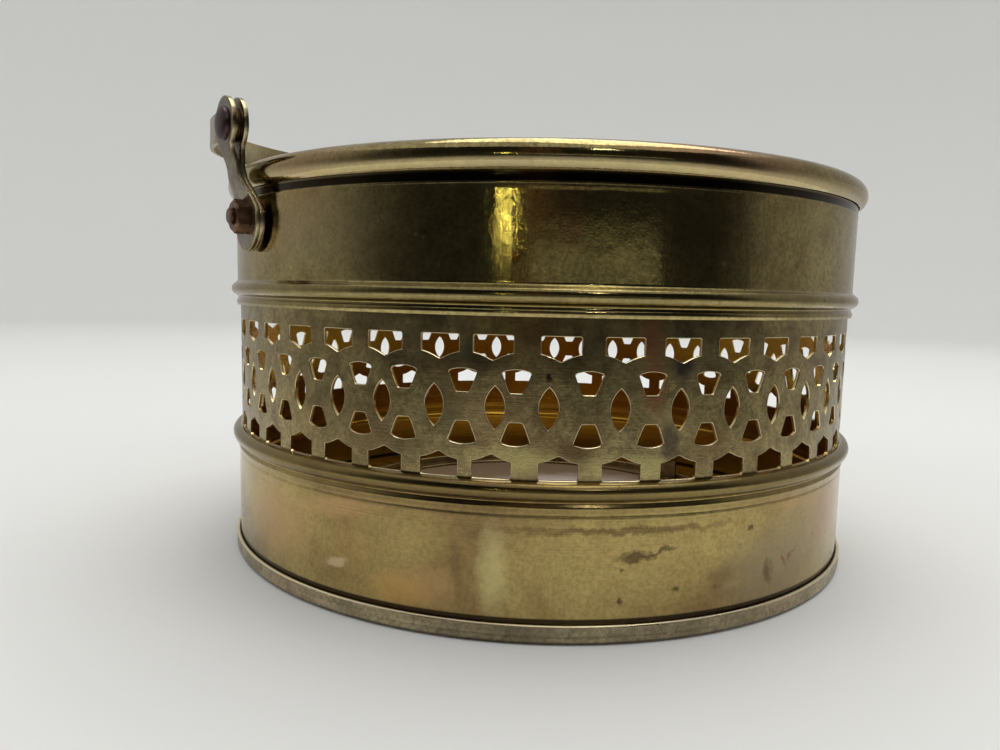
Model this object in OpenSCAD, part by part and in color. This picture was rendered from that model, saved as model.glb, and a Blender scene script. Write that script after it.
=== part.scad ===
// Round pierced-brass spirit stove with a swinging bail and a lift-out spirit pan.
// Units are millimetres, +Z is up, the stove stands on Z = 0 and its axis is the Z axis.
// The front of the stove faces -Y. Angles are counted from +X towards +Y.

/* [Drum] */
// outer radius of the plain bands
wall_r = 70; // [40:0.5:110]
// thickness of the sheet of the bands and the pierced strip
sheet = 0.6; // [0.4:0.05:1.2]
// height of the centre of the rolled rim
rim_z = 77.4; // [50:0.1:120]
// outer radius of the rolled rim's section
roll_r = 2.65; // [1.5:0.05:5]
// how far the centre of the roll lies inside the outer wall face
roll_in = 1; // [0:0.1:2]
// gap between the free edge of the roll and the wall
roll_gap = 0.35; // [0.1:0.05:0.8]

/* [Swaged beads] */
// height of the upper bead
bead_hi_z = 56.2; // [40:0.1:80]
// height of the lower bead
bead_lo_z = 25.2; // [10:0.1:40]
// radius of the upper bead's section
bead_hi_r = 1.5; // [0.8:0.05:3]
// radius of the lower bead's section
bead_lo_r = 1.6; // [0.8:0.05:3]
// how far the centre of a bead lies inside the outer wall face
bead_in = 0.25; // [0:0.05:1]
// drop from a bead's centre to its groove
groove_drop = 1.8; // [1:0.1:4]
// radius of the groove's section
groove_r = 0.22; // [0.1:0.02:0.5]
// drop from a bead's centre to the lip below it
lip_drop = 2.75; // [1.5:0.05:5]
// radius of the lip's section
lip_r = 0.65; // [0.3:0.05:1.5]
// how far the lip stands proud of the wall
lip_proud = 0.25; // [0.05:0.05:0.6]
// drop from the lower bead's centre to the crease under its lip
crease_drop = 3.85; // [2:0.05:6]

/* [Pierced strip] */
// number of repeats round the strip
repeats = 44; // [24:2:72]
// height of the middle of the pattern
pattern_z = 38.3; // [20:0.1:60]
// outer arc of the interlaced rings, which trims the outer holes
ring_outer = 8.9; // [6:0.1:14]
// inner arc of the interlaced rings, which trims the fan holes
ring_inner = 6.1; // [4:0.1:10]
// half width of the outer holes
house_half = 3.2; // [2:0.05:4.5]
// height of the outer holes' flat edge from the pattern's middle
house_top = 11.5; // [9:0.1:16]
// half width of a fan hole at its wide end
fan_wide = 2.4; // [1.2:0.05:3.5]
// half width of a fan hole at its narrow end
fan_narrow = 1.15; // [0.5:0.05:2]
// height of a fan hole's narrow end from the pattern's middle
fan_foot = 2.35; // [1:0.05:5]
// half width of a leaf hole
leaf_half = 1.6; // [0.8:0.05:2.5]
// half height of a leaf hole
leaf_rise = 3.45; // [2:0.05:5]
// how far the strip reaches behind each band
strip_lap = 3.6; // [2:0.1:6]

/* [Base] */
// thickness of the base sheet
base_t = 0.8; // [0.5:0.05:1.5]
// height of the folded flange
flange_h = 3.5; // [2:0.1:6]

/* [Bail ears] */
// direction of ear A, ear B stands opposite
ear_dir = 217; // [0:1:360]
// thickness of one ear leaf
leaf_t = 0.8; // [0.6:0.05:1.5]
// height of the bail pivot
pivot_z = 85.8; // [82:0.1:100]
// height of the bolt through the wall
bolt_z = 69.4; // [62:0.1:73]
// radius of the ear's round foot
lug_r = 5.6; // [4:0.1:8]
// radius of the ear's round head
eye_r = 5; // [3.5:0.1:7]
// width of the ear's neck
neck_w = 6; // [4:0.1:9]
// stand-off between the wall and the ear
stand_off = 0.6; // [0.2:0.05:1.5]
// height where the leaves start to lean out
bend_lo = 72; // [70:0.1:76]
// height where the leaves stand upright again
bend_hi = 81.5; // [78:0.1:84]
// how far the inner leaf leans out
lean_out = 2.4; // [1.5:0.1:5]

/* [Fasteners] */
// diameter of the ear bolt
bolt_d = 3; // [2:0.1:4]
// diameter of the bolt's round head
bolt_head_d = 5.6; // [4:0.1:8]
// height of the bolt's round head
bolt_head_h = 1.7; // [1:0.1:3]
// width across flats of the nut
nut_af = 5.5; // [4:0.1:8]
// height of the nut
nut_h = 2.4; // [1.5:0.1:4]
// bolt thread left showing past the nut
bolt_end = 0.8; // [0.2:0.1:3]
// diameter of the pivot rivet's shank
rivet_d = 2.6; // [1.6:0.1:4]
// diameter of the rivet heads
rivet_head_d = 6; // [4:0.1:8]
// thickness of a rivet head
rivet_head_t = 1.2; // [0.6:0.1:2.5]
// diameter of the pivot washer
washer_d = 6; // [4:0.1:8]
// thickness of the pivot washer
washer_t = 0.4; // [0.3:0.05:1]

/* [Bail] */
// height of the flat strap
bail_w = 5.6; // [3:0.1:10]
// thickness of the flat strap at its eyes
bail_t = 0.85; // [0.6:0.05:1.6]
// how far the strap stands above level as it lies folded
bail_lift = 4.5; // [-10:0.5:90]

/* [Spirit pan] */
// outer radius of the pan
pan_r = 50.7; // [30:0.1:60]
// height of the pan's wall
pan_h = 5; // [3:0.1:8]
// thickness of the pan's sheet
pan_t = 0.6; // [0.4:0.05:1]
// thickness of the absorbent pad
pad_t = 2.2; // [1:0.1:4]
// width of the ring that holds the pad
hold_w = 3.4; // [2:0.1:8]
// height of the locating ring on the floor
locator_h = 3; // [1.5:0.1:5]
// height of a finger tab above the pan's floor
tab_h = 9.5; // [6:0.1:12]
// width of a finger tab
tab_w = 9; // [5:0.5:16]

/* [Clearances] */
// radial gap between the band and the folded flange
flange_clear = 0.05; // [0:0.01:0.2]
// radial gap round the ear bolts
bolt_clear = 0.05; // [0.02:0.01:0.2]
// radial gap between the rivet and the bail's eye
pivot_clear = 0.06; // [0.02:0.01:0.1]
// side gap beside the bail's eye
side_clear = 0.03; // [0.01:0.01:0.1]
// radial gap between the pan and its locating ring
pan_clear = 0.35; // [0.1:0.05:1]

/* [Hidden] */
$fn = 144;
eps = 0.02;
strip_r = wall_r - sheet;
roll_c = wall_r - roll_in;
wire_r = roll_r - sheet - 0.2;
pitch_deg = 360 / repeats;
pitch = 2 * PI * (strip_r - sheet / 2) / repeats;
band_top = bead_lo_z + bead_lo_r;
collar_foot = bead_hi_z - lip_drop - lip_r;
strip_lo = band_top - strip_lap - bead_lo_r;
strip_hi = bead_hi_z + bead_hi_r + 1;
flange_in = wall_r + flange_clear;
floor_z = base_t;
inner_x = wall_r + stand_off;
outer_x = inner_x + leaf_t;
inner_top = inner_x + lean_out;
washer_x = inner_top + leaf_t;
bail_x = washer_x + washer_t + side_clear;
outer_top = bail_x + bail_t + 2 * side_clear;
head_x = sqrt(strip_r * strip_r - bolt_head_d * bolt_head_d / 4);
nut_x = outer_x + leaf_t;
bail_relief = 0.07;
ear_top = pivot_z + eye_r;
ear_foot = bolt_z - lug_r - 0.7;
pan_floor = floor_z + pan_t;
pan_in = pan_r - pan_t;
pad_top = pan_floor + pad_t;
tab_x = sqrt(pan_in * pan_in - tab_w * tab_w / 4) - 0.1;
brass = [0.66, 0.56, 0.33];
brass_dark = [0.52, 0.43, 0.26];
copper_brown = [0.42, 0.27, 0.18];

/* [Show] */
// piece to build, or all

// ---- shared shapes -------------------------------------------------------

// a swaged ring of sheet: added skin of the bead in the radial section
module bead_skin(z, r) {
    intersection() {
        translate([wall_r - bead_in, z]) circle(r = r, $fn = 48);
        translate([wall_r - sheet, z - r]) square([3 * r, 2 * r]);
    }
}

// the hollow behind a swaged bead
module bead_hollow(z, r) {
    translate([wall_r - bead_in, z]) circle(r = r - sheet, $fn = 48);
}

// the small round lip that the swaging leaves below a bead
module lip_skin(z) {
    intersection() {
        translate([wall_r - lip_r + lip_proud, z]) circle(r = lip_r, $fn = 32);
        translate([wall_r - sheet, z - lip_r]) square([2, 2 * lip_r]);
    }
}

module groove_cut(z) {
    translate([wall_r + groove_r / 3, z]) circle(r = groove_r, $fn = 24);
}

// a bar along local X, seen from the ear's side
module rod_x(d, x0, x1, z, sides = 48) {
    translate([x0, 0, z]) rotate([0, 90, 0]) cylinder(d = d, h = x1 - x0, $fn = sides);
}

module at_ear(side) {
    rotate([0, 0, ear_dir + 180 * side]) children();
}

// ---- drum ------------------------------------------------------------------

// flat floor, its edge folded up round the foot of the lower band
module base_plate() {
    color(brass_dark) rotate_extrude() {
        square([flange_in, base_t]);
        intersection() {
            translate([flange_in, base_t]) circle(r = base_t, $fn = 32);
            translate([flange_in, 0]) square([base_t, base_t]);
        }
        translate([flange_in, base_t]) square([base_t, flange_h - 1.5 * base_t]);
        translate([flange_in + base_t / 2, flange_h - base_t / 2]) circle(d = base_t, $fn = 24);
    }
}

// plain band with a bead, a groove, a lip and a crease at its top
module lower_band() {
    color(brass) rotate_extrude() difference() {
        union() {
            translate([wall_r - sheet, base_t]) square([sheet, band_top - base_t - bead_lo_r / 2]);
            bead_skin(bead_lo_z, bead_lo_r);
            lip_skin(bead_lo_z - lip_drop);
        }
        bead_hollow(bead_lo_z, bead_lo_r);
        groove_cut(bead_lo_z - groove_drop);
        translate([wall_r + 0.08, bead_lo_z - crease_drop]) circle(r = 0.2, $fn = 24);
    }
}

// one outer hole: flat edge away from the middle, two arcs meeting in a point towards it
module house_hole() {
    difference() {
        translate([-house_half, ring_outer / 2]) square([2 * house_half, house_top - ring_outer / 2]);
        for (s = [-1, 1]) translate([s * pitch / 2, 0]) circle(r = ring_outer, $fn = 96);
    }
}

// one fan hole: curved wide end away from the middle
module fan_hole() {
    intersection() {
        polygon([[-fan_narrow, fan_foot], [fan_narrow, fan_foot],
                 [fan_wide * 1.08, ring_inner * 1.02], [-fan_wide * 1.08, ring_inner * 1.02]]);
        circle(r = ring_inner, $fn = 96);
    }
}

// one leaf hole: the overlap of two arcs
module leaf_hole() {
    arc_r = (leaf_rise * leaf_rise / leaf_half + leaf_half) / 2;
    intersection() {
        translate([arc_r - leaf_half, 0]) circle(r = arc_r, $fn = 72);
        translate([leaf_half - arc_r, 0]) circle(r = arc_r, $fn = 72);
    }
}

// pushes a flat hole through the strip at one bearing
module punch(bearing) {
    rotate([0, 0, bearing]) translate([strip_r - 3 * sheet, 0, pattern_z])
        rotate([90, 0, 90]) linear_extrude(height = 4 * sheet) children();
}

// pierced strip, nested inside the two plain bands
module fretwork_band() {
    color(brass) difference() {
        translate([0, 0, strip_lo]) difference() {
            cylinder(r = strip_r, h = strip_hi - strip_lo);
            translate([0, 0, -1]) cylinder(r = strip_r - sheet, h = strip_hi - strip_lo + 2);
        }
        for (k = [0 : repeats - 1]) {
            punch(k * pitch_deg) house_hole();
            punch(k * pitch_deg) mirror([0, 1]) house_hole();
            punch(k * pitch_deg) leaf_hole();
            punch((k + 0.5) * pitch_deg) fan_hole();
            punch((k + 0.5) * pitch_deg) mirror([0, 1]) fan_hole();
        }
    }
}

// plain upper band; its top edge is rolled outwards over a wire
module collar() {
    color(brass) difference() {
        rotate_extrude() difference() {
            union() {
                translate([wall_r - sheet, collar_foot + lip_r / 2])
                    square([sheet, rim_z - wire_r - collar_foot - lip_r / 2]);
                bead_skin(bead_hi_z, bead_hi_r);
                lip_skin(bead_hi_z - lip_drop);
                translate([roll_c, rim_z]) circle(r = roll_r, $fn = 72);
            }
            bead_hollow(bead_hi_z, bead_hi_r);
            groove_cut(bead_hi_z - groove_drop);
            translate([roll_c, rim_z]) circle(r = wire_r, $fn = 60);
            translate([wall_r, rim_z - roll_r - 0.1]) square([roll_gap, roll_r - wire_r + 0.3]);
        }
        for (s = [0, 1]) at_ear(s) rod_x(bolt_d + 2 * bolt_clear, strip_r - 4, wall_r + 4, bolt_z);
    }
}

// stiffening wire inside the rolled rim
module rim_wire() {
    color(brass_dark) rotate_extrude()
        translate([roll_c, rim_z]) circle(r = wire_r, $fn = 48);
}

// low ring on the floor that centres the spirit pan
module pan_locator() {
    color(brass_dark) rotate_extrude() {
        translate([pan_r + pan_clear, floor_z]) square([sheet, locator_h]);
        translate([pan_r + pan_clear, floor_z]) square([3, sheet]);
    }
}

// ---- bail ears -------------------------------------------------------------

// front outline of an ear: round foot, shoulders, neck and round head
module ear_outline() {
    translate([0, bolt_z - 0.7]) circle(r = lug_r, $fn = 72);
    polygon([[-lug_r, bolt_z - 0.7], [lug_r, bolt_z - 0.7], [lug_r * 0.97, bolt_z + 1.4],
             [neck_w / 2 + 0.5, bolt_z + 6.2], [neck_w / 2, bolt_z + 8], [-neck_w / 2, bolt_z + 8],
             [-neck_w / 2 - 0.5, bolt_z + 6.2], [-lug_r * 0.97, bolt_z + 1.4]]);
    translate([-neck_w / 2, bolt_z + 7]) square([neck_w, pivot_z - bolt_z - 7]);
    translate([0, pivot_z]) circle(r = eye_r, $fn = 72);
}

// a leaf bent twice so that it clears the rolled rim; x0 and x1 are its inner faces
module ear_leaf(x0, x1) {
    intersection() {
        rotate([90, 0, 0]) linear_extrude(height = 3 * lug_r, center = true)
            polygon([[x0, ear_foot - 1], [x0 + leaf_t, ear_foot - 1], [x0 + leaf_t, bend_lo],
                     [x1 + leaf_t, bend_hi], [x1 + leaf_t, ear_top + 1], [x1, ear_top + 1],
                     [x1, bend_hi], [x0, bend_lo]]);
        translate([inner_x - 5, 0, 0]) rotate([90, 0, 90]) linear_extrude(height = 20) ear_outline();
    }
}

module ear_inner(side) {
    color(brass_dark) at_ear(side) difference() {
        ear_leaf(inner_x, inner_top);
        rod_x(bolt_d + 2 * bolt_clear, inner_x - 1, inner_x + leaf_t + 1, bolt_z);
        rod_x(rivet_d, inner_top - 1, inner_top + leaf_t + 1, pivot_z);
    }
}

module ear_outer(side) {
    color(brass) at_ear(side) difference() {
        ear_leaf(outer_x, outer_top);
        rod_x(bolt_d + 2 * bolt_clear, outer_x - 1, outer_x + leaf_t + 1, bolt_z);
        rod_x(rivet_d, outer_top - 1, outer_top + leaf_t + 1, pivot_z);
    }
}

module ear_inner_a() { ear_inner(0); }
module ear_inner_b() { ear_inner(1); }
module ear_outer_a() { ear_outer(0); }
module ear_outer_b() { ear_outer(1); }

// washer between the ear and the wall, its inner face hollowed to the wall
module ear_spacer(side) {
    color(copper_brown) at_ear(side) difference() {
        rod_x(bolt_head_d + 1.4, wall_r - 1, inner_x, bolt_z);
        translate([0, 0, bolt_z - 8]) cylinder(r = wall_r, h = 16, $fn = 720);
        rod_x(bolt_d + 2 * bolt_clear, wall_r - 2, inner_x + 1, bolt_z);
    }
}

module ear_spacer_a() { ear_spacer(0); }
module ear_spacer_b() { ear_spacer(1); }

// round-headed bolt, its head inside the drum
module ear_bolt(side) {
    color(copper_brown) at_ear(side) difference() {
        union() {
            rod_x(bolt_d, head_x - eps, nut_x + nut_h + bolt_end - 0.25, bolt_z);
            rod_x(bolt_d - 0.6, nut_x + nut_h, nut_x + nut_h + bolt_end, bolt_z);
            rod_x(bolt_head_d, head_x - bolt_head_h * 0.6, head_x, bolt_z);
            rod_x(bolt_head_d - 1.2, head_x - bolt_head_h, head_x, bolt_z);
        }
        translate([head_x - bolt_head_h - 1, -bolt_head_d, bolt_z - 0.35])
            cube([1.8, 2 * bolt_head_d, 0.7]);
    }
}

module ear_bolt_a() { ear_bolt(0); }
module ear_bolt_b() { ear_bolt(1); }

// six-sided nut outside the ear
module ear_nut(side) {
    color(copper_brown) at_ear(side) difference() {
        union() {
            rod_x(nut_af / cos(30), nut_x + 0.2, nut_x + nut_h - 0.2, bolt_z, 6);
            rod_x(nut_af, nut_x, nut_x + nut_h, bolt_z);
        }
        rod_x(bolt_d, nut_x - 1, nut_x + nut_h + 1, bolt_z);
    }
}

module ear_nut_a() { ear_nut(0); }
module ear_nut_b() { ear_nut(1); }

// rivet through both leaves and the bail's eye, with a disc head on each side
module pivot_rivet(side) {
    color(brass_dark) at_ear(side) {
        rod_x(rivet_d, inner_top - 0.5, outer_top + leaf_t + 0.5, pivot_z);
        rod_x(rivet_head_d, inner_top - rivet_head_t * 0.75, inner_top, pivot_z);
        rod_x(rivet_head_d - 1.4, inner_top - rivet_head_t, inner_top, pivot_z);
        rod_x(rivet_head_d, outer_top + leaf_t, outer_top + leaf_t + rivet_head_t * 0.75, pivot_z);
        rod_x(rivet_head_d - 1.4, outer_top + leaf_t, outer_top + leaf_t + rivet_head_t, pivot_z);
    }
}

module pivot_rivet_a() { pivot_rivet(0); }
module pivot_rivet_b() { pivot_rivet(1); }

// thin washer between the inner leaf and the bail's eye
module pivot_washer(side) {
    color(brass) at_ear(side) difference() {
        rod_x(washer_d, washer_x, washer_x + washer_t, pivot_z);
        rod_x(rivet_d, washer_x - 1, washer_x + washer_t + 1, pivot_z);
    }
}

module pivot_washer_a() { pivot_washer(0); }
module pivot_washer_b() { pivot_washer(1); }

// ---- bail --------------------------------------------------------------------

// flat strap bent to a half circle round the rim, an eye at each end
module bail_strap() {
    color(brass) translate([0, 0, pivot_z]) rotate([0, 0, ear_dir - 180]) rotate([bail_lift, 0, 0])
        difference() {
            union() {
                rotate_extrude(angle = 180) translate([bail_x + bail_relief, -bail_w / 2])
                    square([bail_t - bail_relief, bail_w]);
                for (s = [0, 1]) rotate([0, 0, 180 * s]) rod_x(bail_w, bail_x, bail_x + bail_t, 0);
            }
            for (s = [0, 1]) rotate([0, 0, 180 * s])
                rod_x(rivet_d + 2 * pivot_clear, bail_x - 2, bail_x + bail_t + 2, 0);
        }
}

// ---- spirit pan ----------------------------------------------------------------

// shallow round dish
module pan_dish() {
    color(brass) rotate_extrude() {
        translate([0, floor_z]) square([pan_r, pan_t]);
        translate([pan_in, floor_z]) square([pan_t, pan_h - pan_t / 2]);
        translate([pan_in + pan_t / 2, floor_z + pan_h - pan_t / 2]) circle(d = pan_t, $fn = 24);
    }
}

// absorbent pad that holds the spirit
module pan_pad() {
    color([0.8, 0.78, 0.74]) translate([0, 0, pan_floor]) cylinder(r = pan_in - eps, h = pad_t);
}

// flat ring that holds the pad down
module pan_ring() {
    color(brass_dark) translate([0, 0, pad_top]) difference() {
        cylinder(r = pan_in - eps, h = pan_t);
        translate([0, 0, -1]) cylinder(r = pan_in - hold_w, h = pan_t + 2);
    }
}

// finger tab that stands on the holding ring and is bent inwards at its top
module pan_tab(side) {
    color(brass_dark) at_ear(side) rotate([90, 0, 0]) linear_extrude(height = tab_w, center = true)
        polygon([[tab_x - 2.8, pad_top + pan_t], [tab_x, pad_top + pan_t],
                 [tab_x, floor_z + tab_h], [tab_x - 3.4, floor_z + tab_h],
                 [tab_x - 3.4, floor_z + tab_h - pan_t], [tab_x - pan_t, floor_z + tab_h - pan_t],
                 [tab_x - pan_t, pad_top + 2 * pan_t], [tab_x - 2.8, pad_top + 2 * pan_t]]);
}

module pan_tab_a() { pan_tab(0); }
module pan_tab_b() { pan_tab(1); }

// ---- build --------------------------------------------------------------------

base_plate();
lower_band();
fretwork_band();
collar();
rim_wire();
pan_locator();
ear_inner_a();
ear_inner_b();
ear_outer_a();
ear_outer_b();
ear_spacer_a();
ear_spacer_b();
ear_bolt_a();
ear_bolt_b();
ear_nut_a();
ear_nut_b();
pivot_rivet_a();
pivot_rivet_b();
pivot_washer_a();
pivot_washer_b();
bail_strap();
pan_dish();
pan_pad();
pan_ring();
pan_tab_a();
pan_tab_b();
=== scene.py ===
from math import asin, atan2, cos, degrees, exp, hypot, pi, radians, sin, sqrt, tan
import bmesh
import bpy
from mathutils import Matrix, Vector
from mathutils.noise import noise as noise_at
from mathutils.geometry import delaunay_2d_cdt


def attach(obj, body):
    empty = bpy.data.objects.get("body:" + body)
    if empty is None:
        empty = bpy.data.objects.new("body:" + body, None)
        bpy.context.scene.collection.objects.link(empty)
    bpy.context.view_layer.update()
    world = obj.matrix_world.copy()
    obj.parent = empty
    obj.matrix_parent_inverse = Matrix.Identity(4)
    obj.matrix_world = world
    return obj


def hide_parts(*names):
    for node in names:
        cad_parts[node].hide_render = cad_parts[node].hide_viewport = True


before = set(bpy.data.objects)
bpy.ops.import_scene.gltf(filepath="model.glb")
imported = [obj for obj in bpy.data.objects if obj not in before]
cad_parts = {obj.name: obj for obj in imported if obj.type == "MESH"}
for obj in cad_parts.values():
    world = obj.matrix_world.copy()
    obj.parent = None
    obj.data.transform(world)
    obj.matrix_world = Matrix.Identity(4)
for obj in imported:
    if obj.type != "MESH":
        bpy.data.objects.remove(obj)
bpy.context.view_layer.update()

MM = 0.001

# ---- Studio ----
# A round pale floor that curves up into a pale wall stands round the stove, as
# in a small light tent. Soft lamps light it from above and from the sides, and
# a dark room lies behind the eye, which polished brass shows as dark bands.

floor_reach, wall_height, wall_curve = 1.15, 1.5, 0.55


# an object in the scene that holds the given data
def placed(name, data):
    thing = bpy.data.objects.new(name, data)
    bpy.context.collection.objects.link(thing)
    return thing


# a new material and its shader, with the given values on the shader
def surface(name, **values):
    made = bpy.data.materials.new(name)
    made.use_nodes = True
    shader = made.node_tree.nodes["Principled BSDF"]
    for key, value in values.items():
        shader.inputs[key.replace("_", " ")].default_value = value
    return made, shader


# faces between each ring of points and the next; all rings are as long as each
# other, and a tip is a ring that names its one point all the way round
def faces_between(rings):
    faces = []
    for low, high in zip(rings, rings[1:]):
        for k in range(len(low)):
            n = (k + 1) % len(low)
            quad = [low[k], high[k], high[n], low[n]]
            quad = [v for i, v in enumerate(quad) if v not in quad[:i]]
            if len(quad) > 2:
                faces.append(quad)
    return faces


tent_line = [(0.0, 0.0)]
tent_line += [(floor_reach * k / 10, 0.0) for k in range(1, 11)]
tent_line += [(floor_reach + wall_curve * sin(a), wall_curve * (1 - cos(a)))
              for a in [radians(90) * k / 24 for k in range(1, 25)]]
tent_line += [(floor_reach + wall_curve, wall_height)]
turns = 96
rings, verts = [], []
for r, z in tent_line:
    steps = turns if r else 1
    rings.append([len(verts) + k for k in range(steps)] * (turns // steps))
    verts += [(r * cos(t), r * sin(t), z)
              for t in [2 * pi * k / turns for k in range(steps)]]
tent_mesh = bpy.data.meshes.new("tent")
tent_mesh.from_pydata(verts, [], faces_between(rings))
tent_mesh.shade_smooth()
tent_mesh.materials.append(
    surface("tent_paper", Base_Color=(0.80, 0.80, 0.785, 1), Roughness=0.75)[0])
placed("tent", tent_mesh)

sky = bpy.data.worlds.new("tent_light")
bpy.context.scene.world = sky
sky.use_nodes = True
glow_of_sky = sky.node_tree.nodes["Background"].inputs
glow_of_sky["Color"].default_value = (0.97, 0.98, 1.0, 1)
glow_of_sky["Strength"].default_value = 0.60

# the eye: its bearing round the stove, its distance and height, and how it is held
eye_bearing = radians(-93.4)
eye_distance, eye_height = 187.6 * MM, 56.4 * MM
eye_yaw, eye_pitch, eye_roll = -0.0487, 0.1079, 0.0224
turn = Matrix.Rotation(eye_bearing + pi / 2, 3, "Z")
ahead = turn @ Vector((sin(eye_yaw) * cos(eye_pitch),
                       cos(eye_yaw) * cos(eye_pitch), -sin(eye_pitch)))
right = turn @ Vector((cos(eye_yaw), -sin(eye_yaw), 0))
above = right.cross(ahead)
held_right = right * cos(eye_roll) + above * sin(eye_roll)
held_up = above * cos(eye_roll) - right * sin(eye_roll)
camera_data = bpy.data.cameras.new("eye")
frame_wide, focal_length, film_wide = 1000, 757.4, 36
camera_data.sensor_width = film_wide
camera_data.lens = focal_length * film_wide / frame_wide
camera_data.clip_start, camera_data.clip_end = 0.005, 20
camera = placed("eye", camera_data)
camera.matrix_world = Matrix.Translation(
    Vector((cos(eye_bearing), sin(eye_bearing), 0)) * eye_distance
    + Vector((0, 0, eye_height))) @ Matrix(
        (held_right, held_up, -ahead)).transposed().to_4x4()
bpy.context.scene.camera = camera


# a soft lamp panel that faces the stove; bearings are counted from the eye's own
def lamp(name, bearing, elevation, distance, size, power, colour, aim=0.05):
    light = bpy.data.lights.new(name, "AREA")
    light.shape, light.size, light.size_y = "RECTANGLE", size[0], size[1]
    light.energy, light.color = power, colour
    b, e = eye_bearing + radians(bearing), radians(elevation)
    place = Vector((cos(b) * cos(e), sin(b) * cos(e), sin(e))) * distance
    holder = placed(name, light)
    holder.matrix_world = Matrix.Translation(place) @ (
        Vector((0, 0, aim)) - place).to_track_quat("-Z", "Y").to_matrix().to_4x4()


lamp("top_panel", 150, 78, 1.25, (1.0, 1.0), 8.0, (1.0, 0.99, 0.95))
lamp("left_panel", -75, 30, 1.3, (0.5, 0.7), 1.5, (1.0, 0.995, 0.97))
lamp("right_panel", 80, 30, 1.3, (0.5, 0.7), 1.5, (1.0, 0.995, 0.97))


# straight-line blend through (place, value) stops
def between(place, *stops):
    for (a, low), (b, high) in zip(stops, stops[1:]):
        if place <= b:
            part = min(1, max(0, (place - a) / (b - a)))
            return low + (high - low) * part
    return stops[-1][1]


# marks a thing of the studio that only polished metal sees
def only_in_reflections(name, mesh):
    thing = placed(name, mesh)
    thing.visible_camera = thing.visible_diffuse = thing.visible_shadow = False
    thing.visible_transmission = False


# the dark room: a bowl round the front of the stove, whose glow is painted on its
# points. The floor darkens away from the stove, and the wall is dark ahead and
# half bright at the sides.
room_reach = 0.62
profile = [(0.165 + 0.455 * k / 14, 0.0012) for k in range(15)]
profile += [(room_reach, 0.0012 + 0.022 * k) for k in range(1, 11)]
profile += [(room_reach - 0.03 * k, 0.2212 + 0.08 * k) for k in range(1, 5)]
verts, glow = [], []
bearings = [-150 + 2.5 * k for k in range(121)]
for bearing in bearings:
    b = eye_bearing + radians(bearing)
    side = between(bearing, (-150, 1), (-98, 1), (-80, 0.78), (-64, 0.42), (-54, 0.17),
                   (-44, 0.05), (-34, 0), (58, 0), (66, 0.07), (74, 0.42), (92, 0.66),
                   (118, 0.8), (150, 1))
    for r, z in profile:
        verts.append((r * cos(b), r * sin(b), z))
        if z < 0.01:
            front = between(r, (0.165, 0.60), (0.25, 0.40), (0.36, 0.16), (0.5, 0.06),
                            (0.62, 0.03))
            value = front + (between(r, (0.165, 0.60), (0.62, 0.46)) - front) * side
            tint = (1.0, 0.99, 0.97)
        else:
            front = between(z, (0.01, 0.03), (0.3, 0.018), (0.6, 0.03), (0.8, 0.25),
                            (1.0, 0.5))
            wall = between(z, (0.01, 0.42), (0.5, 0.46), (1.0, 0.7))
            warm = between(bearing, (-9, 0), (-6, 1), (2, 1), (5, 0)) * (z < 0.5)
            value = front + (wall - front) * side + 0.06 * warm
            tint = (1.0, 0.97 - 0.36 * warm, 0.93 - 0.5 * warm)
        glow.append(tuple(value * t for t in tint))
rows = len(profile)
faces = [(i * rows + j, (i + 1) * rows + j, (i + 1) * rows + j + 1, i * rows + j + 1)
         for i in range(len(bearings) - 1) for j in range(rows - 1)]
room_mesh = bpy.data.meshes.new("dark_room")
room_mesh.from_pydata(verts, [], faces)
paint = room_mesh.color_attributes.new("glow", "FLOAT_COLOR", "POINT")
for k, (r, g, b) in enumerate(glow):
    paint.data[k].color = (r, g, b, 1)


# adds a node to a tree: each value goes to the input of that name, or by its place as
# i0, i1 and so on, or else to the node's own settings; a node or output is linked
def add(tree, kind, **values):
    made = tree.nodes.new(kind)
    for key, value in values.items():
        title = key.replace("_", " ")
        if key[0] == "i" and key[1:].isdigit():
            socket = made.inputs[int(key[1:])]
        elif title in made.inputs:
            socket = made.inputs[title]
        else:
            setattr(made, key, value)
            continue
        if isinstance(value, bpy.types.Node):
            value = value.outputs[0]
        if isinstance(value, bpy.types.NodeSocket):
            tree.links.new(value, socket)
        else:
            socket.default_value = value
    return made


def glowing(name, strength, attribute=None, colour=(1, 1, 1)):
    made = bpy.data.materials.new(name)
    made.use_nodes = True
    tree = made.node_tree
    tree.nodes.clear()
    light = add(tree, "ShaderNodeEmission", Color=(*colour, 1), Strength=strength)
    if attribute:
        painted = add(tree, "ShaderNodeAttribute", attribute_name=attribute)
        tree.links.new(painted.outputs["Color"], light.inputs["Color"])
    add(tree, "ShaderNodeOutputMaterial", Surface=light)
    return made


room_mesh.materials.append(glowing("dark_room_glow", 1.0, "glow"))
only_in_reflections("dark_room", room_mesh)


# a small bright card on the room's wall; bearing and height run as (from, to)
def bright_card(name, bearing, height, reach, strength, colour):
    steps = 8
    verts = []
    for k in range(steps + 1):
        b = eye_bearing + radians(bearing[0] + (bearing[1] - bearing[0]) * k / steps)
        verts += [(reach * cos(b), reach * sin(b), z) for z in height]
    mesh = bpy.data.meshes.new(name)
    mesh.from_pydata(verts, [], [(2 * k, 2 * k + 2, 2 * k + 3, 2 * k + 1) for k in range(steps)])
    mesh.materials.append(glowing(name, strength, colour=colour))
    only_in_reflections(name, mesh)


bright_card("room_lamp", (-11.2, -10.0), (0.113, 0.130), 0.60, 34.0, (1.0, 0.98, 0.38))
bright_card("room_lamp_glow", (-11.6, -9.6), (0.05, 0.20), 0.605, 0.22, (1.0, 0.95, 0.55))
bright_card("room_table", (-3.5, 37), (0.0615, 0.096), 0.61, 0.30, (1.0, 1.0, 0.80))
bright_card("spot_lamp", (19, 21.5), (0.42, 0.45), 0.52, 60.0, (1.0, 0.98, 0.9))

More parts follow.
